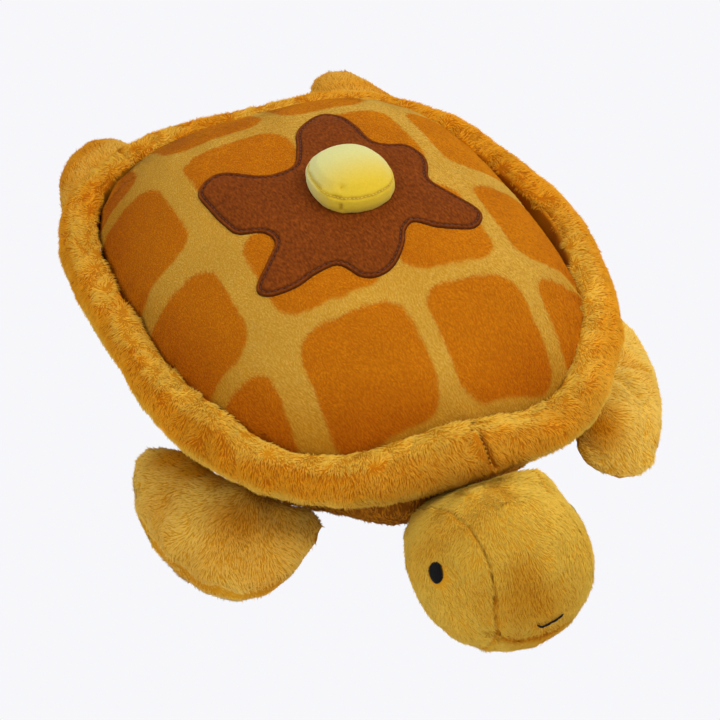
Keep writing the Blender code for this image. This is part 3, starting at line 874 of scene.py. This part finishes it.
def makeHead():
    ball = stuffed(joinedCopy("head_ball", head["panels"] + ["head_filling"]), head["feel"], head["panels"])
    reach = headSeams(ball)
    drawSeams(ball, reach, head["seamDepth"], head["seamSpread"])
    low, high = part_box("head_filling")
    place = points(ball)
    behind = smoothStep(low.y + 0.45 * (high.y - low.y), high.y, place[:, 1])
    above = smoothStep(low.z + 0.3 * (high.z - low.z), low.z + 0.85 * (high.z - low.z), place[:, 2])
    place += np.outer(behind * above * head["neckRise"], [0.0, 0.2, 1.0])
    for middle, size, move in head["neck"]:
        away = ((place / mm - middle) ** 2).sum(axis=1)
        place += np.outer(np.exp(-away / size ** 2), np.array(move) * mm)
    setPoints(ball, place)
    setPoints(ball, place + normals(ball) * spots(ball, head["further"])[:, None])
    skins["head"] = treeOf(ball.data)
    line = np.array(underPixels(ball, head["mouth"]))
    skins["mouth"] = upFrom(skins["head"], line)
    place = points(ball)
    source = np.array([(low.x + high.x) / 2, high.y + 12 * mm, low.z + 0.8 * (high.z - low.z)])
    comb = unit(place - source) + np.array(head["comb"])
    length = 0.85 + 0.15 * smoothStep(0.3 * mm, 3 * mm, reach)
    comb -= slope(ball, reach) * (0.35 * np.exp(-reach / (4 * mm)))[:, None]
    for name in ("eye_right", "eye_left"):
        length *= smoothStep(0.95, 1.45, eyeShare(place, name))
    away = awayFromLine(place, list(line))
    length *= smoothStep(0.3 * mm, 2.6 * mm, away)
    comb += slope(ball, away) * (0.5 * np.exp(-away / (3 * mm)))[:, None]
    # the tone: browner patches, painted shadow under the roll from the last patch, painted shade in the
    # valleys of the seams, and random unevenness
    tone = patchShare(ball, head["patches"]) + head["seamShade"] * np.exp(-(reach / (0.8 * mm)) ** 2)
    tone = np.clip(tone + 0.15 * waves(place, 40 * mm, 32), 0, 1)
    softShare = 0.3 + 0.7 * smoothStep(0.5 * mm, 3 * mm, reach)
    growPile(ball, head["pile"], comb, length, tone, softShare=softShare)
    wear(ball, plushMaterial("head_pile", head["look"]))
    finished(ball, "head", head["panels"] + ["head_filling"])


face = {
    "size": (6.7 * mm, 6.0 * mm), "thread": 0.62 * mm, "step": 0.48 * mm, "rise": 0.3 * mm, "lift": 0.7 * mm,
    "eye_right": {"pixel": (435.6, 572.8), "turn": -0.2},
    "eye_left": {"around": 6, "turn": 0.2},
    "mouthThick": 1.45 * mm, "mouthStitch": 6.5 * mm, "mouthOverlap": 1.6 * mm, "mouthLift": 1.3 * mm,
}


# rows of satin stitch across an embroidered oval, padded in its middle
def satinRows(name, rng):
    middle, out, long, short = eyeFrame(name)
    high, wide = face["size"]
    rows = []
    for along in np.arange(-high + 0.3 * mm, high - 0.2 * mm, face["step"]):
        reach = wide * math.sqrt(max(0.06, 1 - (along / high) ** 2)) * rng.uniform(0.97, 1.06)
        flat = [middle + long * along + short * across for across in np.linspace(-reach, reach, 7)]
        path, ups = upFrom(skins["head"], flat)
        swell = 1 - (np.linspace(-reach, reach, 7) / wide) ** 2 - (along / high) ** 2
        path = path + np.outer(face["lift"] * (0.5 + np.maximum(swell, 0)), out)
        rows.append(threadStitches(path, np.tile(out, (7, 1)), 1.0, 1.0, face["thread"], face["rise"]))
    return rows


def makeFace():
    thread = threadMaterial("black_thread", (4, 4, 5), (14, 13, 15), 0.7, 0.12)
    rng = np.random.default_rng(61)
    for name in ("eye_right", "eye_left"):
        finished(threadForm(name + "_stitches", satinRows(name, rng), thread), "head", [name])
    line, ups = skins["mouth"]
    path = line + ups * face["mouthLift"]
    rows = [threadStitches(path, ups, face["mouthStitch"], -face["mouthOverlap"], face["mouthThick"],
                           0.4 * mm)]
    finished(threadForm("mouth_stitches", rows, thread), "head", ["mouth"])


# four flippers

flipper = {
    "feel": {"voxel": 4 * mm, "inset": 1.2 * mm, "smoothing": 6, "pressure": 4.0, "cap": 3 * mm,
             "seamWidth": 3 * mm, "seamHold": 0.8},
    "seamDepth": 1.2 * mm, "seamSpread": 2.4 * mm,
    "pile": {"seed": 41, "perSquareCm": 130, "length": 4.6 * mm, "width": 0.9 * mm, "lift": 0.24,
             "clump": 26 * mm, "swirl": 0.3, "stray": 0.12, "sunk": 0.5 * mm, "soft": 0.75},
    "look": {"pale": [(184, 128, 22), (212, 156, 40), (226, 178, 66), (240, 204, 112)],
             "deep": [(156, 88, 0), (190, 110, 2), (208, 132, 12), (222, 158, 42)],
             "patchScale": 18.0, "uneven": 0.07, "roughness": 0.9},
    # folds as pixels, depth and width; deeper patches as pixel, size and strength; places further out as
    # pixel, size and amount; how much each flipper is widened, and how much deeper its colour is
    "marks": {
        "front_left": {"folds": [([(612, 368), (630, 366), (646, 369)], 3.2, 3.0),
                                 ([(608, 374), (622, 381), (636, 393)], 2.6, 4.0),
                                 ([(576, 434), (588, 446), (600, 457), (612, 468)], 1.6, 1.3)],
                       "patches": [(600, 425, 15, 0.8), (612, 412, 11, 0.5), (596, 440, 11, 0.7),
                                   (617, 360, 9, 0.5)],
                       "further": [(645, 435, 45, 2.2), (588, 440, 22, 12.0), (606, 452, 24, 10.0),
                                   (622, 458, 24, 5.0)],
                       "widen": 1.4, "deeper": 0.0},
        "front_right": {"folds": [([(236, 497), (243, 515), (240, 530)], 1.2, 7.0),
                                  ([(262, 498), (280, 520)], 0.8, 6.0)],
                        "patches": [(180, 458, 15, 1.0), (196, 472, 13, 0.9), (215, 482, 10, 0.6),
                                    (240, 512, 20, 0.35), (264, 505, 18, 0.3), (290, 518, 16, 0.3)],
                        "root": 0.2,
                        "further": [(145, 480, 30, 1.0), (166, 449, 19, 10.0), (186, 463, 20, 13.0),
                                    (302, 520, 18, 12.0), (306, 514, 14, 11.0)],
                        "widen": -1.0, "deeper": 0.2},
        "rear_left": {"folds": [], "patches": [], "further": [], "widen": 1.4, "deeper": 0.7},
        "rear_right": {"folds": [], "patches": [], "further": [(85, 165, 40, 9.0)],
                       "widen": 1.4, "deeper": 0.7},
    },
}


def makeFlipper(name, seed):
    panels = [name + "_bottom_panel", name + "_top_panel"]
    lobe = stuffed(joinedCopy(name + "_lobe", panels + [name + "_filling"]), flipper["feel"], panels)
    marks = flipper["marks"][name]
    refined(lobe, marks["folds"])
    reach = seamReach(points(lobe), panels)
    hinge = next(joint for joint in frame["joints"] if joint["name"] == name + "_lift")["pos_m"]
    place, normal = points(lobe), normals(lobe)
    away = np.linalg.norm((place - hinge)[:, :2], axis=1)
    share = np.linalg.norm(normal[:, :2], axis=1) * smoothStep(20 * mm, 50 * mm, away)
    sideways = unit(normal * [1, 1, 0]) * share[:, None]
    setPoints(lobe, place + sideways * (marks["widen"] * mm + spots(lobe, marks["further"]))[:, None])
    drawSeams(lobe, reach, flipper["seamDepth"], flipper["seamSpread"])
    fold(lobe, marks["folds"])
    place = points(lobe)
    out = unit((place - hinge) * [1, 1, 0.3])
    root = marks.get("root", 0.5) * (1 - smoothStep(10 * mm, 34 * mm, away))
    tone = np.maximum(patchShare(lobe, marks["patches"]), root)
    tone = np.clip(tone + marks["deeper"] + 0.15 * waves(place, 40 * mm, seed), 0, 1)
    length = 0.55 + 0.45 * smoothStep(0.5 * mm, 4 * mm, reach)
    length *= 1 - 0.65 * smoothStep(0.0, 0.35, -normals(lobe)[:, 2]) * smoothStep(14 * mm, 6 * mm, reach)
    comb = out * 0.8 + slope(lobe, reach) * (0.5 * np.exp(-reach / (3 * mm)))[:, None]
    soft = 0.25 + 0.75 * smoothStep(0.5 * mm, 5 * mm, reach)
    growPile(lobe, {**flipper["pile"], "seed": seed}, comb, length, tone, softShare=soft)
    wear(lobe, plushMaterial(name + "_pile", flipper["look"]))
    finished(lobe, name + "_flipper", panels + [name + "_filling"])


# the syrup: a blot of short plush cut from one sheet, with a turned edge sewn down

syrup = {
    # rows of corners inside the edge, in mm, and how near the edge they and the grid may come
    "grid": 1.7 * mm, "rings": [0.5, 1.1, 1.8, 2.5, 3.1, 3.7, 4.5, 5.6], "ringSlack": 0.93, "gridInside": 0.9,
    "thick": 1.9 * mm, "round": 1.3 * mm, "thinnest": 0.15 * mm,
    "grooveAt": 3.0 * mm, "grooveDepth": 1.15 * mm, "grooveWide": 0.85 * mm, "grooveShade": 0.85,
    "puff": 0.7 * mm, "puffReach": (4 * mm, 16 * mm), "grow": 0.3 * mm,
    "edgeSpread": 0.7 * mm, "edgeShade": 0.9,
    "uneven": 0.16 * mm, "unevenSpan": 5 * mm, "unevenFrom": 2 * mm,
    # edge is the colour of painted shade in the groove and along the turned edge
    "dark": (88, 39, 5), "middle": (107, 49, 7), "light": (126, 61, 14), "edge": (54, 23, 6),
    # the corners of the cut, from its middle, as shares of its reach
    "reach": 82 * mm, "middlePlace": (-2.4 * mm, 6.2 * mm), "stretch": (0.98, 1.07),
    "corners": [
        (-0.96, 0.02), (-0.91, -0.13), (-0.74, -0.24), (-0.71, -0.39), (-0.85, -0.54), (-1.02, -0.71),
        (-0.96, -0.83), (-0.76, -0.87), (-0.56, -0.83), (-0.37, -0.83), (-0.26, -1.00), (-0.12, -1.04),
        (0.04, -0.98), (0.20, -0.82), (0.29, -0.68), (0.40, -0.62), (0.56, -0.73), (0.82, -0.79),
        (0.98, -0.68), (0.99, -0.55), (0.88, -0.38), (0.78, -0.17), (0.87, 0.04), (0.89, 0.18),
        (0.82, 0.32), (0.65, 0.37), (0.56, 0.46), (0.55, 0.70), (0.50, 0.93), (0.34, 1.02),
        (0.07, 0.84), (-0.05, 0.60), (-0.17, 0.39), (-0.33, 0.34), (-0.49, 0.38), (-0.76, 0.60),
        (-0.98, 0.51), (-0.99, 0.26)],
    "stitch": (3.0 * mm, 1.0 * mm, 0.7 * mm, 0.15 * mm),  # length, gap, thickness and rise
    "domed": 1.02,  # how much larger the cut is on the dome than in the plan
}


def smoothLoop(corners, steps):
    found = []
    count = len(corners)
    for i in range(count):
        p0, p1, p2, p3 = (corners[(i + k) % count] for k in (-1, 0, 1, 2))
        for t in np.arange(steps) / steps:
            found.append(0.5 * (2 * p1 + (p2 - p0) * t + (2 * p0 - 5 * p1 + 4 * p2 - p3) * t * t
                                + (3 * p1 - p0 - 3 * p2 + p3) * t ** 3))
    return np.array(found)


# how far places in the plan lie from a closed outline
def fromOutline(flat, loop):
    return awayFromLine(flat, [*loop, loop[0]])


def insideLoop(flat, loop):
    crossed = np.zeros(len(flat), int)
    for (x0, y0), (x1, y1) in zip(loop, np.roll(loop, -1, axis=0)):
        spans = (flat[:, 1] < y0) != (flat[:, 1] < y1)
        crossed += spans & (flat[:, 0] < x0 + (flat[:, 1] - y0) * (x1 - x0) / (y1 - y0 if y1 != y0 else 1))
    return crossed % 2 == 1


def loopOut(loop):
    ahead = np.roll(loop, -1, axis=0) - np.roll(loop, 1, axis=0)
    return unit(np.stack([ahead[:, 1], -ahead[:, 0]], axis=1))


def onDome(flat):
    found, ups = [], []
    for x, y in flat:
        hit, up, _, _ = skins["dome"].ray_cast(Vector((x, y, 1)), Vector((0, 0, -1)))
        found.append(np.array(hit))
        ups.append(np.array(up))
    return np.array(found), np.array(ups)


def syrupMaterial():
    material = bpy.data.materials.new("syrup_plush")
    nodes, links, shader = setShader(material, 0.85)
    nap = noiseNode(nodes, links, 1.0, 4.0, (760, 300, 760))
    height = attributeNode(nodes, "height")
    colour = rampNode(nodes, links, nap, [(0.32, linear(syrup["dark"])), (0.52, linear(syrup["middle"])),
                                          (0.72, linear(syrup["light"]))])
    mottle = noiseNode(nodes, links, 22.0, 2.0)
    patch = rampNode(nodes, links, mottle, [(0.3, (0.92,) * 3), (0.7, (1.06,) * 3)])
    colour = mixNode(nodes, links, "MULTIPLY", 1.0, colour, patch)
    # the height attribute is no height: it is one less the painted shade in the groove and along the turned
    # edge
    colour = mixNode(nodes, links, "MIX", height, (*linear(syrup["edge"]), 1), colour)
    links.new(colour, shader.inputs["Base Color"])
    addBump(nodes, links, shader, nap, 0.5, 0.5 * mm)
    return material


def syrupLoop():
    loop = np.array(syrup["corners"]) * syrup["reach"] * syrup["stretch"] + syrup["middlePlace"]
    loop = smoothLoop(loop, 8)
    return loop + loopOut(loop) * syrup["grow"]


def makeSyrup():
    loop = syrupLoop()
    steiner = []
    for depth in syrup["rings"]:
        ring = loop - loopOut(loop) * depth * mm
        steiner.append(ring[fromOutline(ring, loop) > syrup["ringSlack"] * depth * mm])
    low, high = loop.min(axis=0), loop.max(axis=0)
    step = syrup["grid"]
    rows = np.arange(low[1], high[1], step * 0.866)
    grid = np.array([(x + (k % 2) * step / 2, y) for k, y in enumerate(rows)
                     for x in np.arange(low[0], high[0], step)])
    grid = grid[insideLoop(grid, loop)]
    steiner.append(grid[fromOutline(grid, loop) > (syrup["rings"][-1] + syrup["gridInside"]) * mm])
    flat = np.concatenate([loop, *steiner])
    edges = [(i, (i + 1) % len(loop)) for i in range(len(loop))]
    made = geometry.delaunay_2d_cdt([Vector(p) for p in flat], edges, [], 1, 1e-7)
    flat, faces = np.array([tuple(p) for p in made[0]]), [tuple(f) for f in made[2]]
    depth = fromOutline(flat, loop)
    seat, up = onDome(flat)
    turned = np.sqrt(np.clip(depth / syrup["round"], 0, 1) * (2 - np.clip(depth / syrup["round"], 0, 1)))
    groove = np.exp(-((depth - syrup["grooveAt"]) / syrup["grooveWide"]) ** 2)
    lift = syrup["thick"] * turned - syrup["grooveDepth"] * groove
    lift += syrup["puff"] * smoothStep(*syrup["puffReach"], depth)
    lift += syrup["uneven"] * waves(seat, syrup["unevenSpan"], 52) * smoothStep(0, syrup["unevenFrom"], depth)
    top = seat + up * np.maximum(lift, syrup["thinnest"])[:, None]
    under = seat + up * 0.05 * mm
    count = len(flat)
    seen = {}
    for face in faces:
        for a, b in zip(face, face[1:] + face[:1]):
            seen[a, b] = True
    wall = [(b, a, a + count, b + count) for a, b in seen if (b, a) not in seen]
    closed = faces + [tuple(i + count for i in reversed(face)) for face in faces] + wall
    patch = newForm("syrup_patch_cloth", np.concatenate([top, under]), closed)
    edited(patch, bpy.ops.mesh.normals_make_consistent, inside=False)
    bpy.ops.object.shade_smooth()
    # painted shade along the turned edge and in the groove
    edge = syrup["edgeShade"] * np.exp(-(depth / syrup["edgeSpread"]) ** 2)
    unshaded = 1 - np.maximum(groove * syrup["grooveShade"], edge)
    addAttribute(patch, "height", np.concatenate([unshaded, np.zeros(count)]))
    wear(patch, syrupMaterial())
    finished(patch, "body", ["syrup_patch"])
    lane = loop - loopOut(loop) * syrup["grooveAt"]
    lane = lane[fromOutline(lane, loop) > 0.9 * syrup["grooveAt"]]
    lane = np.concatenate([lane, lane[:1]])
    seat, ups = onDome(lane)
    thread = threadMaterial("syrup_thread", (70, 30, 10), (100, 46, 18))
    path = seat + ups * (syrup["thick"] - syrup["grooveDepth"] + 0.1 * mm)
    sewn = threadForm("syrup_stitches", [threadStitches(path, ups, *syrup["stitch"])], thread)
    finished(sewn, "body", [])


# the butter: a small velour cushion of a top, a band and a base

butter = {
    "panels": ["butter_base", "butter_band", "butter_top"],
    "feel": {"voxel": 2.5 * mm, "inset": 0.2 * mm, "smoothing": 6, "pressure": 4.0, "cap": 3 * mm,
             "seamWidth": 2 * mm, "seamHold": 0.9},
    "lengthen": 1.1, "rounder": 0.06, "shift": (0.5, -7.0, -1.5), "crown": 3.0 * mm,
    "seamDepth": 0.9 * mm, "seamSpread": 1.1 * mm,
    # a stitch is its length, gap, thickness and rise
    "stitchLift": 0.15 * mm, "stitch": (1.7 * mm, 0.9 * mm, 0.6 * mm, 0.2 * mm),
    # pinches in the top and the band: pixels, depth and width
    "dimples": [([(341, 187)], 1.5, 3.0), ([(341, 206), (341, 210), (341, 215)], 1.7, 1.2)],
    # painted light: paler on the far side and richer on the near side, lit from behind and above; seamShade
    # is the colour of painted shade along the seams and in the pinches
    "far": (188, 184, 118), "near": (194, 164, 40), "seamShade": (168, 130, 22),
}


def butterMaterial():
    material = bpy.data.materials.new("butter_velour")
    nodes, links, shader = setShader(material, 0.75)
    shader.inputs["Sheen Weight"].default_value = 0.15
    shader.inputs["Sheen Tint"].default_value = (1, 0.95, 0.7, 1)
    nap = noiseNode(nodes, links, 700.0, 3.0)
    # far, near and seam colours by the tone, all painted light and shade
    stops = [(0.0, linear(butter["far"])), (0.6, linear(butter["near"])), (1.0, linear(butter["seamShade"]))]
    colour = rampNode(nodes, links, attributeNode(nodes, "tone"), stops)
    fine = rampNode(nodes, links, nap, [(0.3, (0.95,) * 3), (0.7, (1.03,) * 3)])
    links.new(mixNode(nodes, links, "MULTIPLY", 1.0, colour, fine), shader.inputs["Base Color"])
    addBump(nodes, links, shader, nap, 0.35, 0.35 * mm)
    return material


def makeButter():
    copied = joinedCopy("butter_pat", butter["panels"] + ["butter_filling"])
    pat = stuffed(copied, butter["feel"], butter["panels"])
    reach = seamReach(points(pat), butter["panels"])
    drawSeams(pat, reach, butter["seamDepth"], butter["seamSpread"])
    place = points(pat)
    middle = place.mean(axis=0)
    rise = (place[:, 2:] - place[:, 2].min()) / np.ptp(place[:, 2])
    flat = place - middle
    corner = np.sin(2 * np.arctan2(flat[:, 1], flat[:, 0])) ** 2
    flat[:, :2] *= (1 - butter["rounder"] * corner)[:, None]
    reached = np.linalg.norm(flat[:, :2], axis=1) / np.linalg.norm(flat[:, :2], axis=1).max()
    flat[:, 2] += butter["crown"] * (smoothStep(0.45, 0.9, rise[:, 0]) * (1 - 1.6 * reached ** 2))
    setPoints(pat, middle + flat * [1, butter["lengthen"], 1] + np.array(butter["shift"]) * mm)
    pinched = fold(pat, butter["dimples"])
    place = points(pat)
    # the tone: painted light, richer towards the near side, and painted shade along the seams and in the
    # pinches
    ahead = smoothStep(14 * mm, -26 * mm, (place - place.mean(axis=0))[:, 1])
    tone = 0.6 * ahead + 0.3 * np.exp(-(reach / (1.2 * mm)) ** 2)
    tone = np.clip(tone + 0.35 * np.exp(-(pinched / (1.1 * mm)) ** 2), 0, 1)
    addAttribute(pat, "tone", tone)
    wear(pat, butterMaterial())
    ring = place[(reach < 0.5 * mm) & (rise[:, 0] > 0.5)]
    finished(pat, "body", butter["panels"] + ["butter_filling"])
    turn = np.arctan2(*(ring - place.mean(axis=0))[:, 1::-1].T)
    bins = np.round((turn + math.pi) / (2 * math.pi) * 60).astype(int) % 60
    path = np.array([ring[bins == k].mean(axis=0) for k in range(60) if (bins == k).any()])
    path = np.concatenate([path, path[:1]])
    seat, ups = upFrom(treeOf(pat.data), path)
    thread = threadMaterial("butter_thread", (186, 160, 60), (204, 180, 84), 0.8, 0.05)
    rows = [threadStitches(seat + ups * butter["stitchLift"], ups, *butter["stitch"])]
    sewn = threadForm("butter_stitches", rows, thread)
    finished(sewn, "body", [])


# floor, lamps and camera

# lamps as place, power and size in metres
studio = {"key": ((0.9, -0.5, 1.6), 22, 1.2), "fill": ((-1.3, -0.8, 1.1), 9, 1.4),
          "back": ((0.2, 1.5, 1.2), 5, 1.2),
          "paper": (0.93, 0.93, 0.96, 1), "cloth": (0.85, 0.85, 0.87, 1), "floor": 12, "world": 0.85,
          "aim": (0, 0, 0.05)}


def makeStudio():
    bpy.ops.mesh.primitive_plane_add(size=studio["floor"], location=(0, 0, 0))
    floor = bpy.context.object
    floor.name = "floor"
    material = bpy.data.materials.new("floor_white")
    nodes, links = nodesOf(material)
    shader = nodes["Principled BSDF"]
    shader.inputs["Roughness"].default_value = 1.0
    shader.inputs["Base Color"].default_value = studio["cloth"]
    paper = nodes.new("ShaderNodeEmission")
    paper.inputs["Color"].default_value = studio["paper"]
    path = nodes.new("ShaderNodeLightPath")
    mix = nodes.new("ShaderNodeMixShader")
    links.new(path.outputs["Is Camera Ray"], mix.inputs[0])
    links.new(shader.outputs[0], mix.inputs[1])
    links.new(paper.outputs[0], mix.inputs[2])
    links.new(mix.outputs[0], nodes["Material Output"].inputs[0])
    floor.data.materials.append(material)
    world = bpy.data.worlds.new("studio")
    world.use_nodes = True
    world.node_tree.nodes["Background"].inputs[0].default_value = studio["paper"]
    world.node_tree.nodes["Background"].inputs[1].default_value = studio["world"]
    bpy.context.scene.world = world
    for name in ("key", "fill", "back"):
        place, power, size = studio[name]
        data = bpy.data.lights.new(name, "AREA")
        data.energy = power
        data.size = size
        lamp = linked(name, data)
        lamp.location = place
        lamp.rotation_euler = (Vector(studio["aim"]) - Vector(place)).to_track_quat("-Z", "Y").to_euler()
    data = bpy.data.cameras.new("camera")
    data.lens = camera["lens"]
    data.sensor_width = camera["sensor"]
    data.clip_start, data.clip_end = 0.05, 30
    eye = linked("camera", data)
    eye.location = camera["place"]
    eye.rotation_euler = (-cameraAxes()[2]).to_track_quat("-Z", "Y").to_euler()
    bpy.context.scene.camera = eye
    bpy.context.scene.view_settings.view_transform = "Standard"


makeShell()
makeSyrup()
makeButter()
makeRim()
makeHead()
makeFace()
for index, name in enumerate(("front_left", "front_right", "rear_left", "rear_right")):
    makeFlipper(name, 41 + index)
makeStudio()
